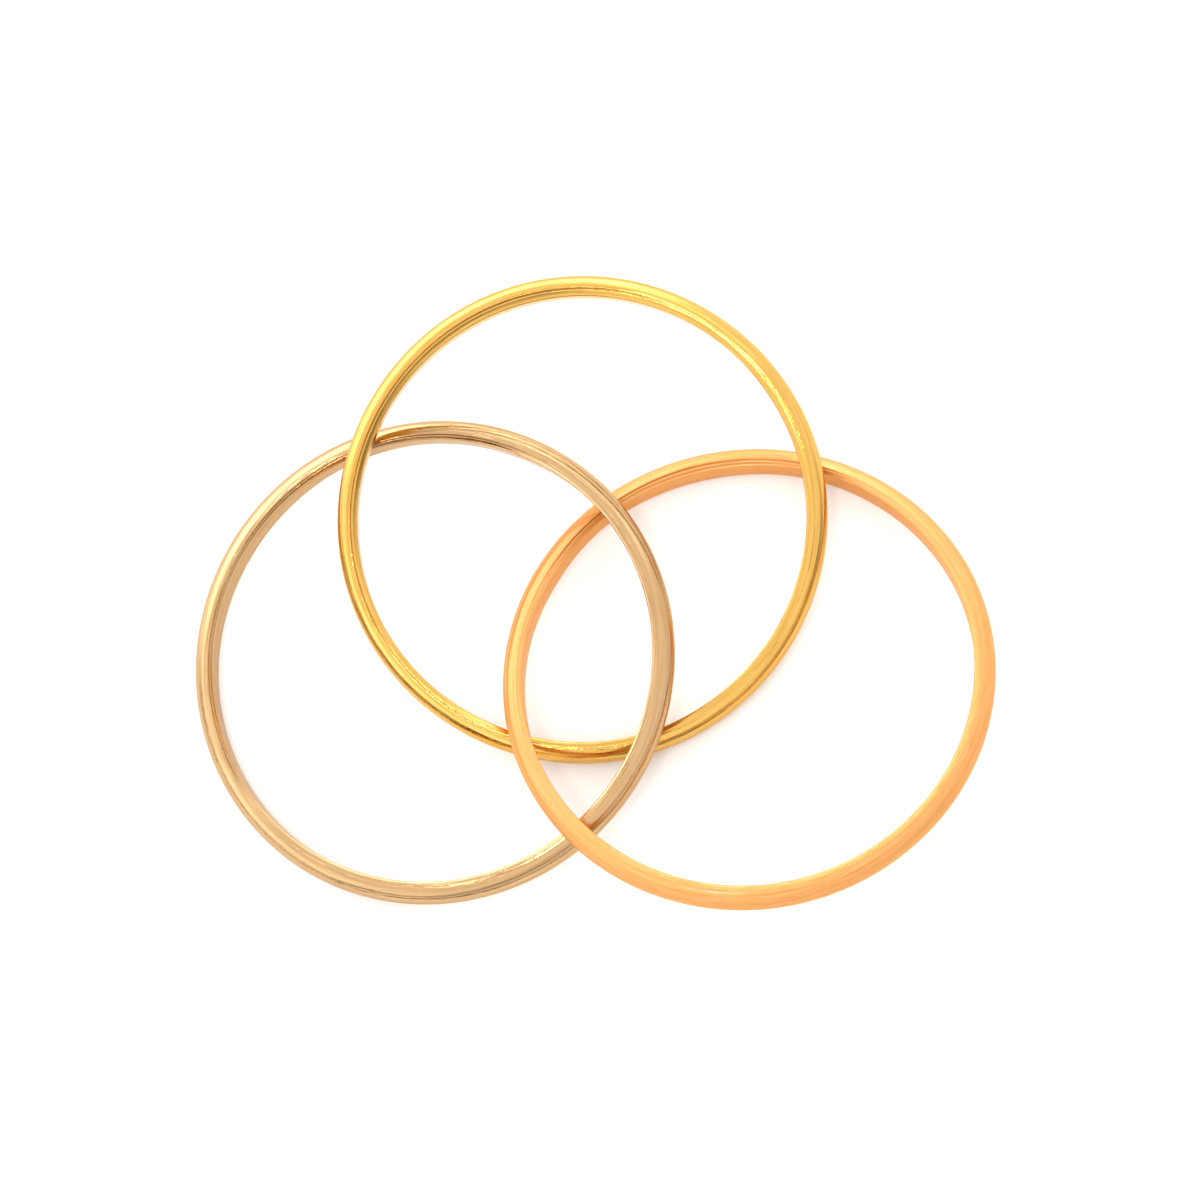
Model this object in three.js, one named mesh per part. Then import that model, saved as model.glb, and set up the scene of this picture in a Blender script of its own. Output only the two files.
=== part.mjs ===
// Stackable ring: three plain gold bands, each linked through the other two, lying spread out on a table.
// Millimetres, +Z up. The origin is on the table, below the centre of the whole ring's box.

import * as THREE from 'three';

// Size of one band. All three are alike, for a finger of 54.3 mm round (US size 7).
const INNER_DIAMETER = 17.3;
const WALL = 0.8;            // from the finger side to the crown of the dome
const WIDTH = 1.2;           // along the finger
const RIM = 0.25;            // flat edge beside the finger hole, before the dome starts
const DOME_SWEEP = THREE.MathUtils.degToRad(72);   // half of the dome's arc; a full half-round would be 90

// Fineness of the faceted solid.
const DOME_STEPS = 10;
const TURN_STEPS = 96;

// How each band lies: its centre, the lean of its plane, and the compass direction of its raised side,
// counted from +X towards +Y. Every band is over each of the others at one crossing and under it at the other.
const BANDS = [
  { name: 'yellow_band', x: -0.71, y: 3.18, leanDeg: 9.7, raisedTowardsDeg: 109.1, colour: 0xffc857, roughness: 0.16 },
  { name: 'white_band', x: -6.48, y: -2.21, leanDeg: 5.4, raisedTowardsDeg: 35.8, colour: 0xe9cda0, roughness: 0.18 },
  { name: 'rose_band', x: 5.75, y: -3.11, leanDeg: 8.5, raisedTowardsDeg: -92.7, colour: 0xffb26b, roughness: 0.2 },
];

// Closed outline of the band's section, as (distance from the band's axis, height along the axis):
// flat finger side, flat rims and a domed outside, run through from the bottom to the top of the dome.
function sectionOutline() {
  const inner = INNER_DIAMETER / 2;
  const domeFoot = inner + RIM;
  const domeRise = WALL - RIM;
  const outline = [new THREE.Vector2(inner, -WIDTH / 2)];
  for (let step = 0; step <= DOME_STEPS; step++) {
    const angle = DOME_SWEEP * (2 * step / DOME_STEPS - 1);
    const rise = (Math.cos(angle) - Math.cos(DOME_SWEEP)) / (1 - Math.cos(DOME_SWEEP));
    const along = Math.sin(angle) / Math.sin(DOME_SWEEP);
    outline.push(new THREE.Vector2(domeFoot + domeRise * rise, along * WIDTH / 2));
  }
  outline.push(new THREE.Vector2(inner, WIDTH / 2), outline[0].clone());
  return outline;
}

// One band about the Z axis, centred on the origin.
function bandGeometry() {
  return new THREE.LatheGeometry(sectionOutline(), TURN_STEPS).rotateX(Math.PI / 2);
}

// How far a band that leans reaches below its centre, so that it can be stood on the table by its lowest edge.
function reachBelowCentre(lean) {
  return Math.max(...sectionOutline().map((p) => p.x * Math.sin(lean) + Math.abs(p.y) * Math.cos(lean)));
}

function makeBand({ name, x, y, leanDeg, raisedTowardsDeg, colour, roughness }) {
  const material = new THREE.MeshStandardMaterial({ color: colour, metalness: 1, roughness });
  const band = new THREE.Mesh(bandGeometry(), material);
  band.name = name;
  const lean = THREE.MathUtils.degToRad(leanDeg);
  band.rotation.set(0, -lean, THREE.MathUtils.degToRad(raisedTowardsDeg), 'ZYX');
  band.position.set(x, y, reachBelowCentre(lean));
  return band;
}

const bands = new THREE.Group();
bands.add(...BANDS.map(makeBand));

// Centre the bands' common box over the origin.
const middle = new THREE.Box3().setFromObject(bands, true).getCenter(new THREE.Vector3());
bands.position.set(-middle.x, -middle.y, 0);

const stackableRing = new THREE.Group();
stackableRing.name = 'stackable_ring';
stackableRing.add(bands);

export default stackableRing;
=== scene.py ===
"""Looks of the stackable ring: three linked gold bands on a pale table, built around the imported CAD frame.

Metres, +Z up. Each CAD band is replaced by a finer mesh of the same size in the same place. Angles round a
band are counted in its own plane from the side nearest +X, so they read like compass angles from +X to +Y."""

import math

import bpy
import numpy as np
from mathutils import Matrix, Vector


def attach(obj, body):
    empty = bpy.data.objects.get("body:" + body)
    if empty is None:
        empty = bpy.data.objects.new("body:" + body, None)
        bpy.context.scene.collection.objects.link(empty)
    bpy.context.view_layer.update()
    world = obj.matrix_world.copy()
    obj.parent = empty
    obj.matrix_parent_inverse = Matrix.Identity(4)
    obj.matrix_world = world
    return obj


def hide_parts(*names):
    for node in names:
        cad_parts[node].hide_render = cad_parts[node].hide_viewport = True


MM = 0.001

# The band's section, beyond what the CAD gives: a fine crest and a groove divide the dome from a rim that
# rounds over into the finger side.
DOME_SWEEP = math.radians(72)  # half the arc that is stretched to make the dome
DOME_STEPS = 20  # in each half of the dome
CREST_WIDTH = 0.05 * MM
CREST_RISE = 0.009 * MM
RIM_DROP = 0.13 * MM  # how far the inner edge is sunk at most
GROOVE = ((0.018, 0.48), (0.03, 0.62), (0.045, 0.5), (0.06, 0.3))  # mm inside the crest, share of the drop
RIM_SLOPE = (math.radians(14), math.radians(27))  # beside the groove and at the inner edge
EDGE_RADIUS = 0.07 * MM  # where the rim rounds over
TURN_STEPS = 1260  # sections round a band
THICKER = 0.06 * MM  # how much further in the finger side may lie in a thicker stretch
CREST_BEND = 0.03 * MM  # how far a bead of the crest may stand aside, about

# Wear placed at random: fine cuts, measured as in the rows of a band's cuts, and shallow dents outside.
FINE_CUTS = 30
CUT_LEVELS = (-0.15, 1.2)  # mm from the crest outward
CUT_SPREADS = (6, 30)  # degrees
CUT_DEPTHS = (0.002, 0.007)  # mm
CUT_DRIFTS = (-0.3, 0.3)  # mm outward in 100 degrees
CUT_WIDTH = 0.03  # half width in mm
DENT_LEVELS = (-0.9, 0.95)  # share of the band's half width
DENT_WIDTHS = (0.08, 0.2)  # mm
DENT_DEPTHS = (0.002, 0.006)  # mm
DENT_STRETCH = 1.5  # how much longer than wide a dent is
DENTED = 0.35  # share of the wall, from the finger side, where the dented outside begins

# Painted shade: a dark metal colour laid along the groove and in the cuts, where they would lie in shade.
GROOVE_LINE = (0.055, 0.022)  # mm from the crest to the groove's line of painted shade, and the line's half width
FULL_SHADE_DEPTH = 0.018 * MM  # a cut as deep as this gets the painted shade in full
SHADE_SHARE = 0.8  # share of the dark colour where the painted shade is full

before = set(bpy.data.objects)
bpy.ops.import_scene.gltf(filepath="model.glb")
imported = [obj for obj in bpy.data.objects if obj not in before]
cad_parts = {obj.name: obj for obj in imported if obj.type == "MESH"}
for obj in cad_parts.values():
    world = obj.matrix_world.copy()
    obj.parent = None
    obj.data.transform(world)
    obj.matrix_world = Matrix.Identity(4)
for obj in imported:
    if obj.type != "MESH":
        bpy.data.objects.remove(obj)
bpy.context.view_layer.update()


# ---------------------------------------------------------------- the bands' shapes


def measure_band(node):
    """Where a CAD band lies and how big it is: centre, turned frame (columns X, Y, axis), section sizes."""
    points = np.array([v.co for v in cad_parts[node].data.vertices], float)
    centre = points.mean(0)
    axis = np.linalg.svd(points - centre, full_matrices=False)[2][2]
    axis *= math.copysign(1, axis[2])
    along_x = np.array([1.0, 0.0, 0.0]) - axis[0] * axis
    along_x /= np.linalg.norm(along_x)
    turned = np.column_stack([along_x, np.cross(axis, along_x), axis])
    local = (points - centre) @ turned
    radius = np.hypot(local[:, 0], local[:, 1])
    half_width = local[:, 2].max()
    return {
        "centre": centre,
        "turned": turned,
        "inner": radius.min(),
        "outer": radius.max(),
        "half_width": half_width,
    }


def band_section(size, rim):
    """The band's closed outline as rows of (radius, height, crest, sunk): crest is 1 on the crest's top, and
    sunk grows to 1 at the inner edge, which lies lowest where the rim is sunk. Runs up the finger side, over
    the upper rim, groove and crest, round the dome and back underneath."""
    inner, half = size["inner"], size["half_width"] - CREST_RISE
    foot = inner + rim
    first, last = RIM_SLOPE
    start, sunk_start = foot - GROOVE[-1][0] * MM, GROOVE[-1][1]
    flat = start - inner - EDGE_RADIUS * (1 - math.sin(last))
    upper = []
    for reach in np.linspace(0, flat, 5):
        fall = reach * math.tan(first) + (math.tan(last) - math.tan(first)) * reach**2 / (2 * flat)
        upper.append((start - reach, half - fall, 0, sunk_start + (1 - sunk_start) * reach / flat))
    for angle in np.radians([36, 50, 65, 78, 90]):
        reach = flat + EDGE_RADIUS * (math.sin(angle) - math.sin(last))
        drop = fall + EDGE_RADIUS * (math.cos(last) - math.cos(angle))
        upper.append((start - reach, half - drop, 0, 1))
    low = half - drop - RIM_DROP
    upper.reverse()
    upper += [(foot - inward * MM, half, 0, sunk) for inward, sunk in reversed(GROOVE[:-1])]
    for part, height in ((0, 0), (0.2, 0.6), (0.5, 1), (0.8, 0.6)):
        upper.append((foot + CREST_WIDTH * part, half, height, 0))
    rise = size["outer"] - foot - CREST_WIDTH
    dome = []
    for angle in np.linspace(DOME_SWEEP, -DOME_SWEEP, 2 * DOME_STEPS + 1):
        out = (math.cos(angle) - math.cos(DOME_SWEEP)) / (1 - math.cos(DOME_SWEEP))
        dome.append((foot + CREST_WIDTH + rise * out, half * math.sin(angle) / math.sin(DOME_SWEEP), 0, 0))
    wall = [(inner, z, 0, 0) for z in np.linspace(-low, low, 5)[1:-1]]
    below = [(radius, -height, crest, sunk) for radius, height, crest, sunk in reversed(upper)]
    return np.array(wall + upper + dome + below)


def swing(turn, waves):
    """Sum of cosines round the band. waves are rows of (lobes, height in mm, degrees of the first crest)."""
    return sum(mm * MM * np.cos(lobes * (turn - math.radians(deg))) for lobes, mm, deg in waves)


def apart(turn, degrees):
    """Angle between turn and degrees, in degrees from -180 to 180."""
    return (np.degrees(turn) - degrees + 180) % 360 - 180


def patches(turn, places):
    """From 0 to 1: how much a place round the band lies in the stretches, rows of (degrees, spread)."""
    return np.clip(sum(np.exp(-((apart(turn, deg) / spread) ** 2)) for deg, spread in places), 0, 1)


def beads(turn, count, rng):
    """Random heights from 0 to 1 at count places round the band, joined by straight lines."""
    places = np.linspace(0, 360, count + 1)
    return np.interp(np.degrees(turn), places, rng.uniform(0, 1, count + 1), period=360)


def walk(section):
    """Along the section: mm from its start, mm from the upper crest outward, and the way each point faces."""
    outline = section[:, :2]
    steps = np.linalg.norm(np.diff(outline, axis=0), axis=1)
    across = np.concatenate([[0], np.cumsum(steps)]) / MM
    from_crest = across - across[np.argmax(section[:, 2] * (section[:, 1] > 0))]
    facing = (np.roll(outline, 1, axis=0) - np.roll(outline, -1, axis=0))[:, ::-1] * (1, -1)
    facing /= np.linalg.norm(facing, axis=1)[:, None]
    return across, from_crest, facing


def swept(turn, section, look, rng):
    """Radius and height of the section at each turn, with the crest's wear and the sunk rim."""
    crest, sunk = section[None, :, 2], section[None, :, 3]
    wear = patches(turn, look["worn"])
    # the crest is an even line, bent a little, and broken into beads where it is worn
    line = 0.7 + 0.2 * (beads(turn, 30, rng) - 0.5) + wear * (beads(turn, 520, rng) - 0.6) * 1.6
    bent = (beads(turn, 30, rng) + 0.8 * beads(turn, 110, rng) - 0.9) * CREST_BEND
    drop = RIM_DROP * (0.1 + 0.9 * patches(turn, look["sunk"])) * (0.85 + 0.15 * beads(turn, 24, rng))
    rise = CREST_RISE * crest * np.clip(line, 0, 1)[:, None] - sunk * drop[:, None]
    radius = section[None, :, 0] + swing(turn, look["waves"])[:, None] + crest * bent[:, None]
    return radius, section[None, :, 1] + np.sign(section[None, :, 1]) * rise


def cut_depths(turn, from_crest, look, rng):
    """The depth of each cut at each point of the band: those of its look, then fine ones at random."""
    cuts = list(look["cuts"])
    for _ in range(FINE_CUTS):
        level, deep, drift = rng.uniform(*CUT_LEVELS), rng.uniform(*CUT_DEPTHS), rng.uniform(*CUT_DRIFTS)
        place, spread = rng.uniform(0, 360), rng.uniform(*CUT_SPREADS)
        cuts.append((level, place, spread, deep, drift, CUT_WIDTH))
    for level, place, spread, deep, drift, wide in cuts:
        beside = (from_crest[None, :] - level - drift / 100 * apart(turn, place)[:, None]) / wide
        yield deep * MM * patches(turn, [(place, spread)])[:, None] * np.exp(-(beside**2))


def dent_depths(turn, section, size, look, rng):
    """The depth of each dent, an oval along the band, at each point of the band."""
    for _ in range(look["dents"]):
        place, level = rng.uniform(0, 360), rng.uniform(*DENT_LEVELS) * size["half_width"]
        wide, deep = rng.uniform(*DENT_WIDTHS) * MM, rng.uniform(*DENT_DEPTHS) * MM
        along = np.radians(apart(turn, place)) * size["outer"] / (DENT_STRETCH * wide)
        above = (section[:, 1] - level) / wide
        yield deep * np.exp(-(along[:, None] ** 2) - above[None, :] ** 2)


def closed_mesh(name, points):
    """A mesh over a grid of points, [turn, place on the section], closed both ways, its faces outward."""
    turns, count = points.shape[:2]
    here = np.arange(turns * count).reshape(turns, count)
    ahead = np.roll(here, -1, axis=0)
    faces = np.stack([here, np.roll(here, -1, axis=1), np.roll(ahead, -1, axis=1), ahead], -1)
    mesh = bpy.data.meshes.new(name)
    mesh.from_pydata(points.reshape(-1, 3).tolist(), [], faces.reshape(-1, 4).tolist())
    mesh.shade_smooth()
    mesh.update()
    return mesh


def band_mesh(name, size, look):
    """A closed mesh of the band in the row frame, with the swings, cuts and dents of a band made and worn."""
    rng = np.random.default_rng(look["seed"])
    section = band_section(size, look["rim"])
    across, from_crest, facing = walk(section)
    turn = np.linspace(0, 2 * math.pi, TURN_STEPS, endpoint=False)
    radius, height = swept(turn, section, look, rng)
    # painted shade: a dark line along the groove in the listed stretches, and darkness in the deeper cuts
    groove_line = np.exp(-(((from_crest + GROOVE_LINE[0]) / GROOVE_LINE[1]) ** 2))
    painted_shade = patches(turn, look["painted_shade_stretches"])[:, None] * groove_line[None, :]
    for cut in cut_depths(turn, from_crest, look, rng):
        painted_shade = np.maximum(painted_shade, cut / FULL_SHADE_DEPTH)
        radius = radius - cut * facing[None, :, 0]
        height = height - cut * facing[None, :, 1]
    outward = (section[:, 0] - size["inner"]) / (size["outer"] - size["inner"])
    inward = np.clip(1 - 3 * outward, 0, 1)
    radius = radius - THICKER * patches(turn, look["thick"])[:, None] * inward[None, :]
    for dent in dent_depths(turn, section, size, look, rng):
        radius = radius - dent * (outward > DENTED)[None, :]
    around = np.cos(turn)[:, None], np.sin(turn)[:, None]
    points = np.stack([radius * around[0], radius * around[1], height], -1)
    mesh = closed_mesh(name, points @ size["turned"].T + size["centre"])
    # for the material: (cos, sin, mm round the section) of each point, and how much painted shade it gets
    place = np.stack(np.broadcast_arrays(*around, across[None, :]), -1)
    attribute = mesh.attributes.new("band_place", "FLOAT_VECTOR", "POINT")
    attribute.data.foreach_set("vector", place.astype(np.float32).ravel())
    attribute = mesh.attributes.new("painted_shade", "FLOAT", "POINT")
    attribute.data.foreach_set("value", np.clip(painted_shade, 0, 1).astype(np.float32).ravel())
    return mesh


# ---------------------------------------------------------------- materials


def add(tree, kind, inputs=None, **settings):
    """A node of that kind, with its settings and with values or links for its inputs."""
    node = tree.nodes.new(kind)
    for key, value in settings.items():
        setattr(node, key, value)
    for key, value in (inputs or {}).items():
        if isinstance(value, bpy.types.NodeSocket):
            tree.links.new(value, node.inputs[key])
        else:
            node.inputs[key].default_value = value
    return node


def math_of(tree, operation, first, second):
    return add(tree, "ShaderNodeMath", {0: first, 1: second}, operation=operation).outputs[0]


def remap(tree, value, low, high, start, end, interpolation="LINEAR"):
    """A value that runs from start to end while the given one runs from low to high."""
    inputs = {0: value, 1: low, 2: high, 3: start, 4: end}
    return add(tree, "ShaderNodeMapRange", inputs, interpolation_type=interpolation).outputs[0]


def toward(tree, vector, degrees):
    """How far a vector points in a compass direction: for length 1, the cosine of the angle between them."""
    turn = math.radians(degrees)
    inputs = {0: vector, 1: (math.cos(turn), math.sin(turn), 0)}
    return add(tree, "ShaderNodeVectorMath", inputs, operation="DOT_PRODUCT").outputs["Value"]


def new_material(name):
    material = bpy.data.materials.new(name)
    material.use_nodes = True
    return material, material.node_tree, material.node_tree.nodes["Principled BSDF"]


def gold(name, look):
    """Polished gold. The colour drifts a little in streaks round the band and is darkened by painted shade
    along the groove and in the cuts.
    Fine polishing lines and broader drawing lines run round it. It is duller on one side and in patches."""
    material, tree, shader = new_material(name)
    place = add(tree, "ShaderNodeAttribute", attribute_name="band_place").outputs["Vector"]

    def noise(round_band, across, detail):
        scale = (round_band, round_band, across)
        stretched = add(tree, "ShaderNodeVectorMath", {0: place, 1: scale}, operation="MULTIPLY").outputs[0]
        inputs = {"Vector": stretched, "Scale": 1.0, "Detail": detail}
        return add(tree, "ShaderNodeTexNoise", inputs).outputs["Fac"]

    drawn = noise(3.0, 9.0, 2.0)
    fine = noise(14.0, 45.0, 4.0)
    grain = noise(75.0, 10.0, 3.0)
    share = remap(tree, drawn, 0.35, 0.7, 0, 1)
    inputs = {0: share, 6: (*look["colour"], 1), 7: (*look["deep"], 1)}
    mix = add(tree, "ShaderNodeMix", inputs, data_type="RGBA")
    # painted shade from the mesh darkens the colour along the groove and in the cuts
    painted_shade = add(tree, "ShaderNodeAttribute", attribute_name="painted_shade").outputs["Fac"]
    inputs = {0: math_of(tree, "MULTIPLY", painted_shade, SHADE_SHARE), 6: mix.outputs[2], 7: (*look["dark"], 1)}
    mix = add(tree, "ShaderNodeMix", inputs, data_type="RGBA")
    tree.links.new(mix.outputs[2], shader.inputs["Base Color"])
    smooth, dull = look["roughness"]
    rough = remap(tree, toward(tree, place, look["dull_side"]), -0.4, 0.6, smooth, dull)
    worn = remap(tree, fine, 0.3, 0.7, 0.75, 1.35)
    tree.links.new(math_of(tree, "MULTIPLY", rough, worn), shader.inputs["Roughness"])
    lines = math_of(tree, "ADD", math_of(tree, "MULTIPLY", drawn, 2.2), fine)
    lines = math_of(tree, "ADD", lines, math_of(tree, "MULTIPLY", grain, 0.5))
    bump = add(tree, "ShaderNodeBump", {"Strength": 0.6, "Distance": look["lines"] * MM, "Height": lines})
    tree.links.new(bump.outputs[0], shader.inputs["Normal"])
    shader.inputs["Metallic"].default_value = 1.0
    shader.inputs["Specular Tint"].default_value = (*look["edge"], 1)
    shader.inputs["Coat Weight"].default_value = look["coat"]
    shader.inputs["Coat Roughness"].default_value = 0.12
    return material


# ---------------------------------------------------------------- the three bands

# colour, deep and dark: the metal, its streaks and its painted shade; edge: its tint at a grazing look;
# roughness: far from the dull side and on it; dull_side: in degrees; lines: relief of the fine lines in mm;
# rim: its width; waves: see swing(); coat: weight of the clear shine; dents: how many;
# worn, sunk, thick and the stretches of painted shade: stretches of the crest, rim, finger side and groove,
# see patches();
# cuts: lines along the band, as rows of (mm from the crest outward, degrees, spread in degrees, mm deep,
# mm of drift outward in 100 degrees, half width in mm). A negative depth is a raised line.
BANDS = {
    "yellow": {
        "colour": (0.72, 0.43, 0.108),
        "deep": (0.62, 0.34, 0.055),
        "dark": (0.34, 0.17, 0.03),
        "edge": (0.97, 0.68, 0.38),
        "roughness": (0.10, 0.12),
        "dull_side": 40,
        "lines": 0.005,
        "rim": 0.265 * MM,
        "sunk": [(105, 35), (160, 35), (215, 30)],
        # stretches where shade is painted along the groove
        "painted_shade_stretches": [(106, 28), (152, 12)],
        "coat": 0.4,
        "waves": [(2, 0.012, 20), (4, 0.014, 15)],
        "worn": [(30, 18), (140, 16), (186, 8), (268, 16)],
        "cuts": [
            (0.43, 212, 34, 0.015, -0.3, 0.045),
            (0.03, 228, 26, -0.006, 0, 0.022),
            (0.325, 322, 40, 0.014, 0, 0.03),
            (-0.17, 115, 45, 0.014, -0.03, 0.03),
        ],
        "thick": [(107, 40), (30, 20)],
        "dents": 34,
        "seed": 3,
    },
    "white": {
        "colour": (0.58, 0.368, 0.176),
        "deep": (0.50, 0.30, 0.13),
        "dark": (0.28, 0.155, 0.062),
        "edge": (0.82, 0.66, 0.48),
        "roughness": (0.11, 0.15),
        "dull_side": 240,
        "lines": 0.0065,
        "rim": 0.18 * MM,
        "sunk": [(85, 25), (132, 28), (190, 25)],
        # stretches where shade is painted along the groove
        "painted_shade_stretches": [(88, 22), (126, 24)],
        "coat": 0.35,
        "waves": [(2, 0.012, 100), (3, 0.012, 0)],
        "worn": [(157, 10), (262, 14)],
        "cuts": [
            (0.36, 50, 42, 0.03, -0.55, 0.042),
            (0.05, 290, 22, -0.01, 0, 0.03),
            (0.42, 305, 45, 0.016, 0, 0.03),
            (-0.12, 140, 36, 0.016, 0, 0.03),
        ],
        "thick": [(68, 16), (142, 24)],
        "dents": 30,
        "seed": 5,
    },
    "rose": {
        "colour": (0.79, 0.40, 0.142),
        "deep": (0.73, 0.35, 0.105),
        "dark": (0.56, 0.20, 0.035),
        "edge": (0.99, 0.74, 0.50),
        "roughness": (0.43, 0.56),
        "dull_side": 300,
        "lines": 0.012,
        "rim": 0.21 * MM,
        "sunk": [(95, 30), (135, 20)],
        # stretches where shade is painted along the groove
        "painted_shade_stretches": [(98, 30), (140, 14)],
        "coat": 0.22,
        "waves": [(2, 0.012, 60), (3, 0.01, 30)],
        "worn": [(95, 18)],
        "cuts": [
            (0.415, 172, 40, 0.02, 0.18, 0.045),
            (-0.17, 100, 26, 0.018, 0, 0.03),
            (0.2, 100, 26, 0.01, 0.1, 0.03),
        ],
        "thick": [(102, 20), (150, 14)],
        "dents": 22,
        "seed": 8,
    },
}


def build_band(metal, look):
    node = f"{metal}_band"
    name = f"{metal}_gold_band"
    band = bpy.data.objects.new(name, band_mesh(name, measure_band(node), look))
    bpy.context.scene.collection.objects.link(band)
    band.data.materials.append(gold(f"{metal}_gold", look))
    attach(band, metal)
    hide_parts(node)


# ---------------------------------------------------------------- floor, light and camera


def make_floor():
    bpy.ops.mesh.primitive_circle_add(vertices=128, radius=0.6, fill_type="NGON")
    floor = bpy.context.object
    floor.name = "table"
    material, _, shader = new_material("table")
    shader.inputs["Base Color"].default_value = (0.93, 0.94, 0.95, 1)
    shader.inputs["Roughness"].default_value = 0.8
    shader.inputs["Specular IOR Level"].default_value = 0.1
    floor.data.materials.append(material)


# Soft patches of the room's light: compass direction, half width where full and where gone (degrees), the
# heights (sine of the elevation) where it starts, is full, begins to fade and is gone, and how much light it
# adds, or takes away where negative.
ROOM_PATCHES = [
    (118, 26, 58, (-0.02, 0.02, 0.40, 0.60), 2.7),
    (212, 20, 56, (0.12, 0.22, 0.45, 0.62), 0.95),
    (215, 32, 62, (-0.30, -0.10, 0.07, 0.18), -1.0),
    (300, 45, 85, (-0.30, -0.10, 0.16, 0.40), -0.95),
    (68, 14, 34, (0.40, 0.50, 0.62, 0.74), 0.9),
]
ROOM_LEVEL = 1.36


def make_world():
    """A soft white room with a wide low window on its far left and a dimmer side opposite. The camera itself
    sees a plain pale backdrop."""
    world = bpy.data.worlds.new("studio")
    bpy.context.scene.world = world
    world.use_nodes = True
    tree = world.node_tree
    towards = add(tree, "ShaderNodeTexCoord").outputs["Generated"]
    height = add(tree, "ShaderNodeSeparateXYZ", {0: towards}).outputs["Z"]
    flat = add(tree, "ShaderNodeVectorMath", {0: towards, 1: (1, 1, 0)}, operation="MULTIPLY").outputs[0]
    compass = add(tree, "ShaderNodeVectorMath", {0: flat}, operation="NORMALIZE").outputs[0]

    def ramp(value, start, end):
        return remap(tree, value, start, end, 0, 1, "SMOOTHSTEP")

    level = ROOM_LEVEL
    for degrees, full, gone, (low, low_full, high_full, high), gain in ROOM_PATCHES:
        facing = toward(tree, compass, degrees)
        wide = ramp(facing, math.cos(math.radians(gone)), math.cos(math.radians(full)))
        tall = math_of(tree, "MULTIPLY", ramp(height, low, low_full), ramp(height, high, high_full))
        patch = math_of(tree, "MULTIPLY", math_of(tree, "MULTIPLY", wide, tall), gain)
        level = math_of(tree, "ADD", level, patch)
    room = add(tree, "ShaderNodeBackground", {"Color": (1, 0.995, 0.985, 1), "Strength": level}).outputs[0]
    backdrop = add(tree, "ShaderNodeBackground", {"Color": (1, 1, 1, 1), "Strength": 1.0}).outputs[0]
    seen = add(tree, "ShaderNodeLightPath").outputs["Is Camera Ray"]
    mixed = add(tree, "ShaderNodeMixShader", {0: seen, 1: room, 2: backdrop}).outputs[0]
    tree.links.new(mixed, tree.nodes["World Output"].inputs["Surface"])


def make_lamp():
    """A small soft lamp high on the near left, which makes the glints along the crests."""
    lamp = bpy.data.objects.new("lamp", bpy.data.lights.new("lamp", "AREA"))
    bpy.context.scene.collection.objects.link(lamp)
    lamp.data.shape = "ELLIPSE"
    lamp.data.size, lamp.data.size_y = 0.085, 0.11
    lamp.data.energy = 0.4
    turn, rise, distance = math.radians(238), math.radians(75), 0.55
    towards = Vector((math.cos(turn) * math.cos(rise), math.sin(turn) * math.cos(rise), math.sin(rise)))
    side = Vector((0, 0, 1)).cross(towards).normalized()
    turned = Matrix((side.cross(towards), side, towards)).transposed().to_4x4()
    lamp.matrix_world = Matrix.Translation(towards * distance) @ turned


def make_camera():
    """Above the bands, a little to their right and in front, turned so that +X runs to the right."""
    aim = Vector((0.15, 0.42, 0.09)) * MM
    azimuth, elevation, roll = (math.radians(a) for a in (24.23, 74.65, -24.37))
    distance = 245.1 * MM
    level = Vector((math.cos(azimuth), math.sin(azimuth), 0))
    ahead = Vector((math.sin(azimuth), -math.cos(azimuth), 0))
    back = ahead * math.cos(elevation) + Vector((0, 0, math.sin(elevation)))
    right = level * math.cos(roll) + back.cross(level) * math.sin(roll)
    camera = bpy.data.objects.new("camera", bpy.data.cameras.new("camera"))
    bpy.context.scene.collection.objects.link(camera)
    turned = Matrix((right, back.cross(right), back)).transposed().to_4x4()
    camera.matrix_world = Matrix.Translation(aim + back * distance) @ turned
    camera.data.sensor_width = 36
    camera.data.lens = 189.8
    camera.data.clip_start, camera.data.clip_end = 0.01, 10
    bpy.context.scene.camera = camera


make_camera()
for metal, look in BANDS.items():
    build_band(metal, look)
make_floor()
make_world()
make_lamp()
bpy.context.scene.view_settings.view_transform = "Standard"
